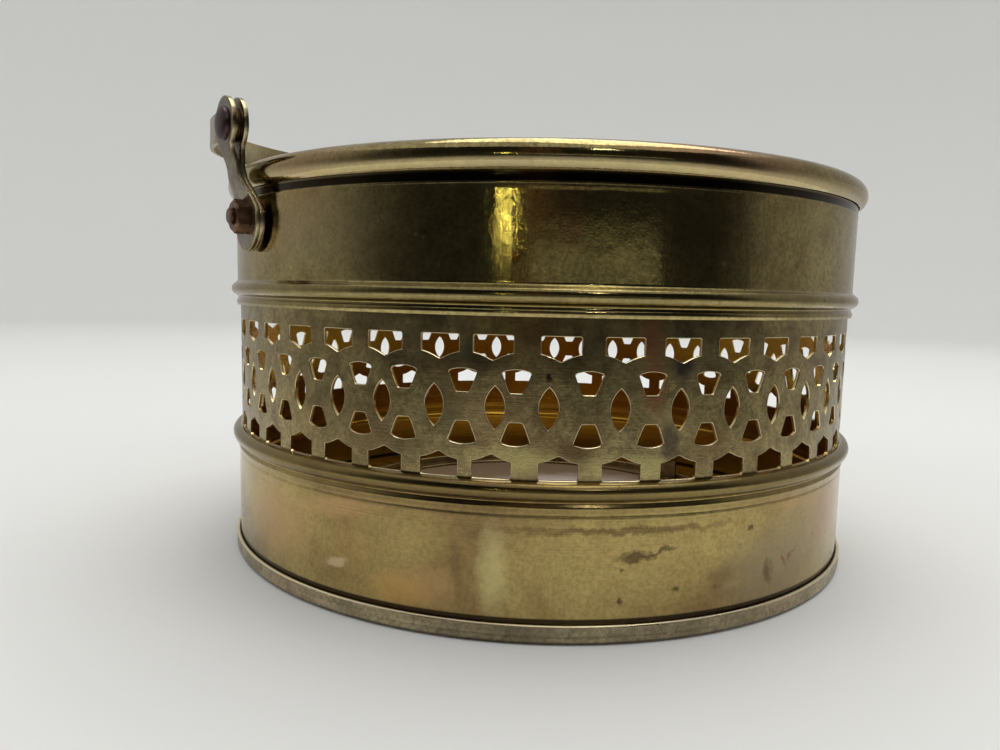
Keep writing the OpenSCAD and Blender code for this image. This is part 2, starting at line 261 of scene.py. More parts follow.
bpy.context.scene.view_settings.view_transform = "Standard"


# ---- Base plate ----
# A flat disc of brass sheet, its edge folded up round the foot of the lower
# band and closed over it. The fold is dulled and greyer than the bands.

# a Geometry Nodes tree with its named inputs, given as name and kind, and one result
def new_tree(name, result, **inputs):
    tree = bpy.data.node_groups.new(name, "GeometryNodeTree")
    tree.is_modifier = True
    for key, kind in inputs.items():
        tree.interface.new_socket(key.replace("_", " "), in_out="INPUT",
                                  socket_type="NodeSocket" + kind)
    tree.interface.new_socket(result, in_out="OUTPUT", socket_type="NodeSocketGeometry")
    return tree, add(tree, "NodeGroupInput").outputs


# spins a closed outline round the stove's axis; the outline is the object's own mesh
spun_sheet, given = new_tree("spun_sheet", "Sheet", Outline="Geometry", Axis_to_outline="Float",
                             Steps_round="Int", Waviness="Float", Waves_a_metre="Float",
                             Finish="Material")
outline = add(spun_sheet, "GeometryNodeMeshToCurve", Mesh=given["Outline"])
path = add(spun_sheet, "GeometryNodeCurvePrimitiveCircle", Radius=given["Axis to outline"],
           Resolution=given["Steps round"])
spin = add(spun_sheet, "GeometryNodeCurveToMesh", Curve=path, Profile_Curve=outline)
weld = add(spun_sheet, "GeometryNodeMergeByDistance", Geometry=spin, Distance=2e-6)
place = add(spun_sheet, "GeometryNodeInputPosition")
flatten = add(spun_sheet, "ShaderNodeVectorMath", operation="MULTIPLY", i0=place, i1=(1, 1, 0))
outward = add(spun_sheet, "ShaderNodeVectorMath", operation="NORMALIZE", i0=flatten)
wave = add(spun_sheet, "ShaderNodeTexNoise", Vector=place, Scale=given["Waves a metre"], Detail=1.0)
centred = add(spun_sheet, "ShaderNodeMath", operation="SUBTRACT", i0=wave, i1=0.5)
height = add(spun_sheet, "ShaderNodeMath", operation="MULTIPLY", i0=centred, i1=given["Waviness"])
push = add(spun_sheet, "ShaderNodeVectorMath", operation="SCALE", i0=outward, Scale=height)
move = add(spun_sheet, "GeometryNodeSetPosition", Geometry=weld, Offset=push)
smooth = add(spun_sheet, "GeometryNodeSetShadeSmooth", Geometry=move)
realize = add(spun_sheet, "GeometryNodeRealizeInstances", Geometry=smooth)
finish = add(spun_sheet, "GeometryNodeSetMaterial", Geometry=realize, Material=given["Finish"])
add(spun_sheet, "NodeGroupOutput", i0=finish)


# gives an object a node tree as a modifier and sets its inputs by their names
def with_tree(thing, tree, **inputs):
    modifier = thing.modifiers.new(tree.name, "NODES")
    modifier.node_group = tree
    for socket in tree.interface.items_tree:
        if socket.in_out == "INPUT" and socket.name.replace(" ", "_") in inputs:
            modifier[socket.identifier] = inputs[socket.name.replace(" ", "_")]
    return modifier


# turns an object with modifiers into a plain mesh with its faces pointing outwards,
# welded to another mesh where one is given
def settle(thing, crease=32, welded_to=None):
    graph = bpy.context.evaluated_depsgraph_get()
    mesh = bpy.data.meshes.new_from_object(thing.evaluated_get(graph))
    thing.modifiers.clear()
    thing.data = mesh
    mesh.name = thing.name
    bm = bmesh.new()
    bm.from_mesh(mesh)
    if welded_to:
        bm.from_mesh(welded_to)
        bmesh.ops.remove_doubles(bm, verts=bm.verts, dist=2e-6)
    bmesh.ops.recalc_face_normals(bm, faces=bm.faces)
    if bm.calc_volume(signed=True) < 0:
        bmesh.ops.reverse_faces(bm, faces=bm.faces)
    for f in bm.faces:
        f.material_index = 0
    bm.to_mesh(mesh)
    bm.free()
    finish = [m for m in mesh.materials if m][0]
    mesh.materials.clear()
    mesh.materials.append(finish)
    mesh.shade_smooth()
    mesh.set_sharp_from_angle(angle=radians(crease))
    return thing


# an object that is only an outline: pairs of radius and height in millimetres
def outline_object(name, line, axis_to_outline, closed=True):
    edges = [(k, k + 1) for k in range(len(line) - 1)]
    if closed:
        edges.append((len(line) - 1, 0))
    mesh = bpy.data.meshes.new(name)
    mesh.from_pydata([((r - axis_to_outline) * MM, -z * MM, 0) for r, z in line], edges, [])
    return placed(name, mesh)


def spun(name, line, finish, closed=True, steps=300, waviness=0.0, waves=28.0, crease=32):
    thing = outline_object(name, line, 40, closed)
    with_tree(thing, spun_sheet, Axis_to_outline=40 * MM, Steps_round=steps,
              Waviness=waviness * MM, Waves_a_metre=waves, Finish=finish)
    return settle(thing, crease)


# points of an arc in an outline, angles in degrees
def arc(r, z, radius, start, end, count):
    return [(r + radius * cos(radians(start + (end - start) * k / count)),
             z + radius * sin(radians(start + (end - start) * k / count)))
            for k in range(count + 1)]


# a colour ramp between two stops
def ramp(tree, source, low, low_colour, high, high_colour):
    tone = add(tree, "ShaderNodeValToRGB", Fac=source)
    first, last = tone.color_ramp.elements
    first.position, first.color = low, (*low_colour, 1)
    last.position, last.color = high, (*high_colour, 1)
    return tone.outputs["Color"]


# brass that was polished long ago: clouded tarnish, hand marks, fine lines round
# the drum, wipes up and down it, dark specks, copper-coloured bloom and stains. Some
# stains and hoops are painted light instead: painted shade in gaps, painted highlights
# on edges and a painted reflection of a lamp.
# A stain or painted glint is (bearing, height, half width, half height in mm, tilt, colour,
# amount), a hoop of tint, painted shade or painted highlight is (from height, to height,
# soft edge, largest radius in mm, colour, amount), and inside gives the radius in mm below
# which the sheet shows its inner face, and its colour.
def aged_brass(name, gold, brown, tarnish=0.5, dull=0.26, lines=0.25, wipes=0.0, grain=0.0,
               mottle=0.0, fine=0.0, specks=0.5, seed=0.0, stains_and_glints=(), tint_and_light_hoops=(), inside=None,
               burnished_edge_highlight=None):
    made, shader = surface(name, Metallic=1.0)
    tree = made.node_tree

    def node(kind, **values):
        return add(tree, kind, **values)

    def noise(place, **values):
        return node("ShaderNodeTexNoise", Vector=place, **values)

    def fades(source, start, stop, first, last):
        return node("ShaderNodeMapRange", Value=source, From_Min=start, From_Max=stop,
                    To_Min=first, To_Max=last)

    def tinted(amount, below, hue):
        mix = node("ShaderNodeMix", data_type="RGBA", i0=amount, i6=below, i7=(*hue, 1))
        return mix.outputs[2]

    where = node("ShaderNodeTexCoord").outputs["Object"]
    shift = node("ShaderNodeMapping", Vector=where, Location=(seed, seed * 0.7, -seed * 0.4))
    shift_b = node("ShaderNodeMapping", Vector=where, Location=(seed + 0.31, 0.12, 0.2))
    cloud = noise(shift, Scale=30.0, Detail=6.0, Roughness=0.62, Distortion=0.6)
    colour = ramp(tree, cloud, 0.34, brown, 0.34 + 0.42 * (1.15 - tarnish), gold)

    # small cloudy mottling, and copper-coloured bloom where the polish has gone
    if mottle:
        small = noise(shift_b, Scale=230.0, Detail=4.0, Roughness=0.6, Distortion=0.4)
        colour = tinted(fades(small, 0.42, 0.68, 0.0, mottle), colour,
                        tuple(c * 0.45 for c in brown))
    if fine:
        dust = noise(shift, Scale=1300.0, Detail=4.0, Roughness=0.7)
        colour = tinted(fades(dust, 0.42, 0.62, 0.0, fine), colour,
                        tuple(c * 0.35 for c in brown))
    bloom = noise(shift_b, Scale=17.0, Detail=4.0, Roughness=0.55, Distortion=1.2)
    colour = tinted(fades(bloom, 0.56, 0.74, 0.0, 0.7 * tarnish), colour,
                    (gold[0] * 0.93, gold[1] * 0.66, gold[2] * 0.72))

    # stains with frayed outlines, and painted lamp reflections drawn the same way
    if stains_and_glints:
        fray, fray_wide = noise(shift, Scale=420.0, Detail=4.0, Roughness=0.7), 3.5 * MM
        centred = node("ShaderNodeMapping", Vector=where, Location=(-fray_wide / 2,) * 3)
        frayed = node("ShaderNodeVectorMath", operation="MULTIPLY_ADD", i0=fray.outputs["Color"],
                      i1=(fray_wide,) * 3, i2=centred)
    for bearing, height, half_wide, half_high, tilt, hue, amount in stains_and_glints:
        b = radians(bearing)
        spot = node("ShaderNodeMapping", vector_type="TEXTURE", Vector=frayed,
                    Location=(wall_r * MM * cos(b), wall_r * MM * sin(b), height * MM),
                    Rotation=(radians(tilt), 0, b),
                    Scale=(9 * MM, half_wide * MM, half_high * MM))
        reach = node("ShaderNodeVectorMath", operation="LENGTH", i0=spot)
        colour = tinted(fades(reach.outputs["Value"], 0.45, 1.15, amount, 0.0), colour, hue)

    # hoops round the drum: tarnish colours, painted shade in gaps and painted highlights on edges;
    # and the warmer inner face
    if tint_and_light_hoops or inside:
        axes = node("ShaderNodeSeparateXYZ", Vector=where)
        level = node("ShaderNodeVectorMath", operation="MULTIPLY", i0=where, i1=(1, 1, 0))
        radius = node("ShaderNodeVectorMath", operation="LENGTH", i0=level).outputs["Value"]
    if inside:
        colour = tinted(fades(radius, (inside[0] - 0.05) * MM, inside[0] * MM, 1.0, 0.0),
                        colour, inside[1])
    for low, high, soft, limit, hue, amount in tint_and_light_hoops:
        held = fades(axes.outputs["Z"], (low - soft) * MM, low * MM, 0.0, amount)
        for mask in (fades(axes.outputs["Z"], high * MM, (high + soft) * MM, 1.0, 0.0),
                     fades(radius, limit * MM, (limit + 0.06) * MM, 1.0, 0.0)):
            held = node("ShaderNodeMath", operation="MULTIPLY", i0=held, i1=mask)
        colour = tinted(held, colour, hue)

    # small dark specks, and the burnished edge that the punch leaves, painted lighter as a
    # highlight too
    speck = node("ShaderNodeTexVoronoi", Vector=shift, Scale=260.0, Randomness=1.0)
    zone = noise(shift_b, Scale=22.0, Detail=3.0)
    speckled = node("ShaderNodeMath", operation="MULTIPLY", i0=fades(speck, 0.05, 0.16, 1.0, 0.0),
                    i1=fades(zone, 0.52, 0.66, 0.0, specks))
    colour = tinted(speckled, colour, (brown[0] * 0.35, brown[1] * 0.3, brown[2] * 0.3))
    if burnished_edge_highlight:
        cut = node("ShaderNodeAttribute", attribute_name="cut")
        colour = tinted(cut.outputs["Fac"], colour, burnished_edge_highlight)
    tree.links.new(colour, shader.inputs["Base Color"])

    # roughness: smudges over a worn polish, dull specks
    smudge = noise(shift_b, Scale=55.0, Detail=5.0, Roughness=0.6)
    rough = node("ShaderNodeMath", operation="MULTIPLY_ADD", i0=speckled, i1=0.35,
                 i2=fades(smudge, 0.3, 0.75, dull * 0.6, dull * 1.5))
    tree.links.new(rough.outputs[0], shader.inputs["Roughness"])

    # relief: lines round the drum, wipes up and down it, fine grain and soft dents
    relief = None
    for depth, distance, pattern in ((lines, 0.06, (18.0, 18.0, 2600.0)),
                                     (wipes, 0.05, (900.0, 900.0, 40.0)),
                                     (grain, 0.05, (2500.0, 2500.0, 2500.0)),
                                     (0.25, 0.4, (75.0, 75.0, 75.0))):
        if depth:
            stretch = node("ShaderNodeMapping", Vector=shift, Scale=pattern)
            height = noise(stretch, Scale=1.0, Detail=3.0, Roughness=0.65)
            bump = node("ShaderNodeBump", Strength=depth, Distance=distance * MM, Height=height)
            if relief:
                tree.links.new(relief, bump.inputs["Normal"])
            relief = bump.outputs[0]
    tree.links.new(relief, shader.inputs["Normal"])
    return made


wall_r, sheet = 70.0, 0.6
base_t, flange_h, flange_in = 0.8, 3.5, 70.05
flange_out = flange_in + base_t
base_line = [(0, 0), (40, 0), (flange_in - 1, 0)]
base_line += arc(flange_in, base_t, base_t, -90, 0, 8)
base_line += [(flange_out, 1.1), (flange_out - 0.10, 1.5), (flange_out - 0.20, 1.9),
              (flange_out - 0.14, 2.25)]
base_line += arc(flange_in + base_t / 2, flange_h - 0.55, base_t / 2, -10, 170, 14)
base_line += [(flange_in, base_t), (40, base_t), (0, base_t)]
dull_brass = aged_brass(
    "brass_base_fold", (0.50, 0.42, 0.26), (0.30, 0.245, 0.155), 0.7, 0.30, mottle=0.55, fine=0.5,
    grain=0.3, seed=1.3,
    tint_and_light_hoops=[
        # painted highlight: the rounded top of the fold is painted far lighter as a bright line,
        # partly also rubbed bright by wear
        (3.14, 4.0, 0.1, 72, (0.92, 0.80, 0.52), 0.95),
        # painted shade: the foot of the fold, where it meets the floor, is painted dark
        (0.0, 0.5, 0.3, 72, (0.06, 0.045, 0.03), 0.7)])
base = spun("base_fold", base_line, dull_brass, closed=False)
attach(base, "drum")
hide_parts("base_plate")

# ---- Lower band ----
# A plain band of brass sheet. Its top is swaged into a round bead with a groove,
# a small lip and a crease below it, which grip the foot of the pierced strip.


# outer face of a band near its swaged bead: radius at a height, in millimetres
def swaged(z, bead_z, bead_r, crease_z=None):
    face = wall_r
    for centre_r, centre_z, radius in ((wall_r - 0.25, bead_z, bead_r),
                                       (wall_r - 0.4, bead_z - 2.75, 0.65)):
        if abs(z - centre_z) < radius:
            face = max(face, centre_r + sqrt(radius ** 2 - (z - centre_z) ** 2))
    face -= 0.30 * exp(-((z - bead_z + 1.8) / 0.2) ** 2)
    if crease_z is not None:
        face -= 0.13 * exp(-((z - crease_z) / 0.2) ** 2)
    return face


# the same face with its corners rounded as bent sheet rounds them
def swaged_line(low, high, bead_z, bead_r, crease_z=None):
    count = round((high - low) / 0.1)
    heights = [low + (high - low) * k / count for k in range(count + 1)]
    weights = [(d * 0.09, exp(-(d / 3.4) ** 2)) for d in range(-8, 9)]
    total = sum(w for _, w in weights)
    return [(sum(w * swaged(z + d, bead_z, bead_r, crease_z) for d, w in weights) / total, z)
            for z in heights]


bead_lo_z, bead_lo_r = 25.2, 1.6
band_inside = wall_r - sheet
low_line = [(wall_r, base_t), (wall_r, 4.5), (wall_r, 9), (wall_r, 14), (wall_r, 18.5)]
low_line += swaged_line(20.6, 26.5, bead_lo_z, bead_lo_r, bead_lo_z - 3.85)
low_line += [(70.0, 26.76), (69.75, 26.8), (69.4, 26.76)]
low_line += arc(wall_r - 0.25, bead_lo_z, bead_lo_r - sheet, 110, -110, 14)
clench_lo, clench_r, rib_z = 17.0, 68.92, 15.2
low_line += [(clench_r, 21.4), (clench_r, 19), (clench_r, clench_lo + 0.2),
             (clench_r + 0.08, clench_lo), (band_inside, clench_lo - 0.12)]
low_line += [(band_inside - 0.42 * cos(t) ** 2, rib_z - 0.85 * sin(t))
             for t in [radians(-90 + 15 * k) for k in range(13)]]
low_line += [(band_inside, 10), (band_inside, base_t)]
rust, umber, blush = (0.22, 0.10, 0.05), (0.10, 0.065, 0.03), (0.50, 0.31, 0.14)
lower_stains_and_glint = [
    (-138, 13, 13, 8, 0, blush, 0.6), (-108, 8, 6, 4, 0, blush, 0.5),
    (-123, 19, 12, 2, 8, blush, 0.5), (-40, 16, 8, 6, 10, (0.46, 0.24, 0.12), 0.6),
    (-50, 20, 8, 1.6, -6, (0.56, 0.34, 0.14), 0.6), (-56, 9, 14, 9, 0, (0.25, 0.20, 0.13), 0.6),
    (-46, 15, 13, 12, 0, (0.27, 0.20, 0.11), 0.4),
    # painted reflection: the first mark on this line is a light upright streak standing for a
    # lamp's glint on the band
    (-98.6, 12, 2.6, 8.5, 0, (0.66, 0.60, 0.28), 0.4), (-103.5, 12, 1.0, 7, 6, umber, 0.3),
    (-112, 6.5, 6, 3.5, 0, (0.56, 0.33, 0.10), 0.5),
    (-81.5, 18.8, 25, 0.75, 0, (0.15, 0.10, 0.04), 0.75), (-79.5, 14.4, 3.6, 0.9, 3, umber, 0.85),
    (-76.0, 15.1, 3.4, 0.45, 12, umber, 0.8), (-81.4, 12.4, 0.5, 0.5, 0, umber, 0.9),
    (-81.4, 7.2, 0.7, 0.6, 0, umber, 0.9), (-73.6, 8.3, 0.8, 0.6, 0, umber, 0.9),
    (-66.5, 9.3, 3.6, 2.4, 20, (0.16, 0.10, 0.05), 0.5), (-56.9, 8.9, 1.2, 2.6, 18, umber, 0.7),
    (-51.4, 10.4, 2.6, 0.35, 42, rust, 0.8), (-53.2, 9.6, 0.35, 2.4, 20, rust, 0.8),
    (-60.9, 17.1, 0.8, 0.7, 0, umber, 0.9), (-122.6, 9.2, 2.6, 1.0, 10, (0.66, 0.54, 0.34), 0.6)]
deep_gold = (0.58, 0.34, 0.045)
gold_brass = aged_brass(
    "brass_lower_band", (0.47, 0.36, 0.135), (0.28, 0.19, 0.08), 0.62, 0.19, lines=0.6, grain=0.25,
    mottle=0.2, fine=0.3, specks=1.0, seed=0.0, stains_and_glints=lower_stains_and_glint, inside=(69.7, deep_gold),
    tint_and_light_hoops=[
        # painted shade: a near-black line in the gap between the band's foot and the top of the
        # base fold
        (3.2, 4.05, 0.22, 72, (0.03, 0.02, 0.012), 0.95),
        (23.9, 27, 0.6, 72, (0.17, 0.125, 0.045), 0.6)])
lower = spun("lower_band_sheet", low_line, gold_brass, waviness=0.09)
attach(lower, "drum")
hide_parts("lower_band")

# ---- Pierced strip ----
# A strip of brass sheet bent to a ring inside the two bands. A press cut the same
# five holes 44 times round it; the punch leaves a burnished edge on each hole, which is also
# painted lighter as a highlight.


# a flat plate with rounded front edges from closed loops, first the outer one
# anticlockwise, then the holes clockwise; seam is the x of sides left uncut
def cut_plate(loops, thickness, edge, spacing, seam=None):
    def on_seam(a, b):
        return seam is not None and abs(abs(a[0]) - seam) < 1e-6 and abs(a[0] - b[0]) < 1e-6

    def inset(loop, amount):
        moved = []
        for k, p in enumerate(loop):
            a, b = loop[k - 1], loop[(k + 1) % len(loop)]
            rows = []
            for s, e in ((a, p), (p, b)):
                d = Vector((e[0] - s[0], e[1] - s[1])).normalized()
                rows.append((Vector((-d.y, d.x)), 0.0 if on_seam(s, e) else amount))
            (n1, d1), (n2, d2) = rows
            det = n1.x * n2.y - n1.y * n2.x
            if abs(det) < 0.2:
                step = (n1 * d1 + n2 * d2) / 2
            else:
                step = Vector(((d1 * n2.y - d2 * n1.y) / det, (n1.x * d2 - n2.x * d1) / det))
            moved.append((p[0] + step.x, p[1] + step.y))
        return moved

    def inside(point, rings):
        odd = False
        for ring in rings:
            for k, p in enumerate(ring):
                q = ring[k - 1]
                if (p[1] > point[1]) != (q[1] > point[1]) and point[0] < (
                        (q[0] - p[0]) * (point[1] - p[1]) / (q[1] - p[1]) + p[0]):
                    odd = not odd
        return odd

    verts, faces = [], []

    def sheet_face(rings, w, flip):
        flat = [Vector(p) for ring in rings for p in ring]
        edges, start = [], 0
        for ring in rings:
            edges += [(start + k, start + (k + 1) % len(ring)) for k in range(len(ring))]
            start += len(ring)
        rim = list(flat)
        xs, ys = [p.x for p in rim], [p.y for p in rim]
        columns = max(1, round((max(xs) - min(xs)) / spacing))
        rows = max(1, round((max(ys) - min(ys)) / spacing))
        for i in range(1, columns):
            for j in range(1, rows):
                p = Vector((min(xs) + (max(xs) - min(xs)) * i / columns,
                            min(ys) + (max(ys) - min(ys)) * j / rows))
                if inside(p, rings) and min((p - q).length for q in rim) > spacing * 0.45:
                    flat.append(p)
        points, _, triangles, origin, _, _ = delaunay_2d_cdt(flat, edges, [], 0, 1e-5)
        where = {}
        first = len(verts)
        for k, (p, ids) in enumerate(zip(points, origin)):
            verts.append((p.x, p.y, w))
            for i in ids:
                where[i] = first + k
        for t in triangles:
            centre = sum((points[i] for i in t), Vector((0, 0))) / 3
            if inside(centre, rings):
                a, b, c = (points[i] for i in t)
                left = (b - a).cross(c - a) > 0
                ids = [first + i for i in t]
                faces.append(ids if left != flip else ids[::-1])
        answer, start = [], 0
        for ring in rings:
            answer.append([where[start + k] for k in range(len(ring))])
            start += len(ring)
        return answer

    front = sheet_face([inset(loop, edge) for loop in loops], 0.0, False)
    back = sheet_face(loops, -thickness, True)
    for loop, top, bottom in zip(loops, front, back):
        rounded = inset(loop, edge * 0.3)
        middle = [len(verts) + k for k in range(len(loop))]
        verts.extend((x, y, -edge * 0.3) for x, y in rounded)
        shoulder = [len(verts) + k for k in range(len(loop))]
        verts.extend((x, y, -edge) for x, y in loop)
        for k in range(len(loop)):
            m = (k + 1) % len(loop)
            if on_seam(loop[k], loop[m]):
                continue
            for high, low in ((top, middle), (middle, shoulder), (shoulder, bottom)):
                faces.append([high[k], low[k], low[m], high[m]])
    return verts, faces


# copies a mesh round the stove's axis and welds the copies
round_drum, given = new_tree("round_drum", "Copies round", Piece="Geometry", Copies="Int",
                             Places_round="Int", First_bearing="Float", Finish="Material")
points = add(round_drum, "GeometryNodeMeshLine", mode="OFFSET", Count=given["Copies"],
             Offset=(0, 0, 0))
index = add(round_drum, "GeometryNodeInputIndex")
step = add(round_drum, "ShaderNodeMath", operation="DIVIDE", i0=2 * pi,
           i1=given["Places round"])
angle = add(round_drum, "ShaderNodeMath", operation="MULTIPLY_ADD", i0=index, i1=step,
            i2=given["First bearing"])
turned = add(round_drum, "ShaderNodeCombineXYZ", Z=angle)
rotation = add(round_drum, "FunctionNodeEulerToRotation", i0=turned)
copies = add(round_drum, "GeometryNodeInstanceOnPoints", Points=points, Instance=given["Piece"],
             Rotation=rotation)
realize = add(round_drum, "GeometryNodeRealizeInstances", Geometry=copies)
weld = add(round_drum, "GeometryNodeMergeByDistance", Geometry=realize, Distance=1.5e-6)
finish = add(round_drum, "GeometryNodeSetMaterial", Geometry=weld, Material=given["Finish"])
add(round_drum, "NodeGroupOutput", i0=finish)


# a mesh of points and faces, with how burnished and painted-highlit each point is where that is
# given
def plain_mesh(name, verts, faces, cut=None):
    mesh = bpy.data.meshes.new(name)
    mesh.from_pydata(verts, [], faces)
    if cut:
        mesh.attributes.new("cut", "FLOAT", "POINT").data.foreach_set("value", cut)
    return mesh


def copied_round(name, verts, faces, copies, first_bearing, finish, crease=32, places=None,
                 cut=None, welded_to=None):
    thing = placed(name, plain_mesh(name, verts, faces, cut))
    with_tree(thing, round_drum, Copies=copies, Places_round=places or copies,
              First_bearing=radians(first_bearing), Finish=finish)
    return settle(thing, crease, welded_to and plain_mesh(name + "_front", *welded_to))


strip_r, repeats, pattern_z = wall_r - sheet, 44, 38.3
pitch = 2 * pi * (strip_r - sheet / 2) / repeats
strip_lo, strip_hi = 21.6, 58.7
ring_outer, ring_inner = 8.9, 6.1
house_half, house_top = 3.2, 11.5
fan_wide, fan_narrow, fan_foot = 2.4, 1.15, 2.35
leaf_half, leaf_rise = 1.6, 3.45


# clockwise outline of an outer hole above (side 1) or below (side -1) the middle
def house_hole(side):
    def arch(x):
        return sqrt(ring_outer ** 2 - (x - pitch / 2 * (1 if x >= 0 else -1)) ** 2)
    corner = 0.35
    line = [(x, arch(x)) for x in [house_half * (1 - k / 6) for k in range(6)]]
    line += [(0.0, arch(0.0) + 0.12)]
    line += [(x, arch(x)) for x in [-house_half * (k + 1) / 6 for k in range(6)]]
    line += arc(-house_half + corner, house_top - corner, corner, 180, 90, 3)
    line += [(-1.2, house_top), (0.0, house_top), (1.2, house_top)]
    line += arc(house_half - corner, house_top - corner, corner, 90, 0, 3)
    return line if side > 0 else [(x, -y) for x, y in line][::-1]


# right half of a fan hole's outline on x >= 0, from its narrow end outwards
def fan_half(side):
    spread = atan2(fan_wide * 1.08 - fan_narrow, ring_inner * 1.02 - fan_foot)
    tip = []
    for k in range(40):
        y = fan_foot + (ring_inner - fan_foot) * k / 39
        x = fan_narrow + (y - fan_foot) * tan(spread)
        if hypot(x, y) >= ring_inner:
            tip = [x, y]
            break
    side_angle = degrees(atan2(tip[1], tip[0]))
    line = [(0.0, fan_foot), (fan_narrow * 0.5, fan_foot), (fan_narrow - 0.2, fan_foot),
            (fan_narrow, fan_foot + 0.18)]
    line += [(fan_narrow + (tip[0] - fan_narrow) * k / 4, fan_foot + (tip[1] - fan_foot) * k / 4)
             for k in range(1, 4)]
    line += [(tip[0] - 0.12, tip[1] - 0.3)]
    line += arc(0, 0, ring_inner, side_angle + 3, 90, 6)
    line[-1] = (0.0, ring_inner)
    return [(x, side * y) for x, y in line]


def leaf_hole():
    arc_r = (leaf_rise ** 2 / leaf_half + leaf_half) / 2
    reach = degrees(asin(leaf_rise / arc_r))
    right_side = arc(leaf_half - arc_r, 0, arc_r, reach, -reach, 10)
    left_side = arc(arc_r - leaf_half, 0, arc_r, 180 + reach, 180 - reach, 10)
    return right_side[:-1] + left_side[:-1]


# a whole fan hole, clockwise
def fan_hole(side):
    half_line = fan_half(side)
    line = [(-x, y) for x, y in half_line] + half_line[::-1][1:-1]
    return line if side > 0 else line[::-1]


# outline of a length of strip between two seams, each through a column of fans
def strip_outline(columns):
    lo_v, hi_v = strip_lo - pattern_z, strip_hi - pattern_z
    edge_u = pitch * columns / 2
    steps = [-edge_u + pitch * k / 10 for k in range(10 * columns + 1)]
    side_up = [(edge_u, lo_v + (-ring_inner - lo_v) * k / 10) for k in range(1, 10)]
    side_up += [(edge_u - x, y) for x, y in fan_half(-1)[::-1]]
    side_up += [(edge_u, -1.2), (edge_u, 0.0), (edge_u, 1.2)]
    side_up += [(edge_u - x, y) for x, y in fan_half(1)]
    side_up += [(edge_u, ring_inner + (hi_v - ring_inner) * k / 14) for k in range(1, 14)]
    return ([(x, lo_v) for x in steps] + side_up + [(x, hi_v) for x in steps[::-1]]
            + [(-x, y) for x, y in side_up[::-1]])


def moved(loop, u):
    return [(x + u, y) for x, y in loop]


# how burnished a point of a cut edge is, and how much painted highlight it gets, by its depth under
# the front face
def burnish_and_highlight(plate, depth, amount):
    return [amount if -depth - 1e-6 <= w < -1e-6 else 0.0 for _, _, w in plate[0]]


# bends flat strip to the ring
def bent_strip(plate, bearing):
    mid_r, b = strip_r - sheet / 2, radians(bearing)
    verts = [((strip_r + w) * MM * cos(b + u / mid_r),
              (strip_r + w) * MM * sin(b + u / mid_r), (pattern_z + v) * MM)
             for u, v, w in plate[0]]
    return verts, plate[1], burnish_and_highlight(plate, cut_round, 1.0)


cut_round, cut_spacing = 0.12, 0.95
strip_stains = [
    (-78.4, 50, 2.4, 5.0, 0, (0.42, 0.18, 0.08), 0.8),
    (-77.6, 42, 2.2, 5, 0, (0.38, 0.17, 0.08), 0.75),
    (-73.5, 47, 2.4, 5.0, 0, (0.07, 0.06, 0.06), 0.85),
    (-75, 33, 1.8, 4.0, 0, (0.07, 0.055, 0.05), 0.7),
    (-88.5, 31.5, 3.4, 2.4, 10, (0.15, 0.09, 0.04), 0.7),
    (-101, 47, 3.2, 3.6, 0, (0.10, 0.10, 0.05), 0.75),
    (-92.06, 43.3, 0.7, 0.7, 0, (0.03, 0.02, 0.015), 0.95),
    (-69, 33, 4, 3, 0, (0.26, 0.14, 0.06), 0.5), (-117, 33, 4, 4, 0, (0.22, 0.15, 0.07), 0.6),
    (-106, 38, 4, 5, 0, (0.16, 0.15, 0.07), 0.6), (-96, 30, 9, 2.5, 0, (0.56, 0.50, 0.20), 0.6),
    (-80, 29, 9, 2.2, 0, (0.56, 0.50, 0.20), 0.6)]
strip_brass = aged_brass(
    "brass_pierced_strip", (0.46, 0.37, 0.17), (0.24, 0.18, 0.085), 0.65, 0.22, lines=0.15,
    grain=0.35, mottle=0.6, fine=0.4, specks=0.8, seed=2.1, stains_and_glints=strip_stains,
    inside=(69.1, deep_gold), burnished_edge_highlight=(0.85, 0.74, 0.46))

# the press was fed by hand: at the front its strokes slipped along the strip
house_slips = {-1: -1.15, 0: -0.3}
leaf_slips = {-3: -0.54, -2: -0.9, -1: -0.72, 0: -2.05, 1: -0.48, 2: -0.12}
fan_slips = {-2: -1.39, -1: -1.09, 0: -2.3, 1: -0.66, 2: -0.18}
front_columns, front_centre = 6, -90 - 180 / repeats
loops = [strip_outline(front_columns)]
for column in range(-3, 3):
    u = (column + 0.5) * pitch
    loops += [moved(house_hole(s), u + house_slips.get(column, 0)) for s in (1, -1)]
    loops += [moved(leaf_hole(), u + leaf_slips.get(column, 0))]
    if column > -3:
        loops += [moved(fan_hole(s), u - pitch / 2 + fan_slips.get(column, 0)) for s in (1, -1)]
front = bent_strip(cut_plate(loops, sheet, cut_round, cut_spacing,
                             seam=front_columns * pitch / 2), front_centre)
cell = bent_strip(cut_plate([strip_outline(1), house_hole(1), house_hole(-1), leaf_hole()],
                            sheet, cut_round, cut_spacing, seam=pitch / 2), 0)
strip = copied_round("pierced_strip", cell[0], cell[1], repeats - front_columns,
                     front_centre + (front_columns + 1) * 180 / repeats, strip_brass, crease=14,
                     places=repeats, cut=cell[2], welded_to=front)
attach(strip, "drum")
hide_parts("fretwork_band")

# ---- Collar ----
# The plain upper band. Its foot is swaged as the lower band's top is, and its top
# edge is curled outwards over a wire, with the free edge just clear of the wall.

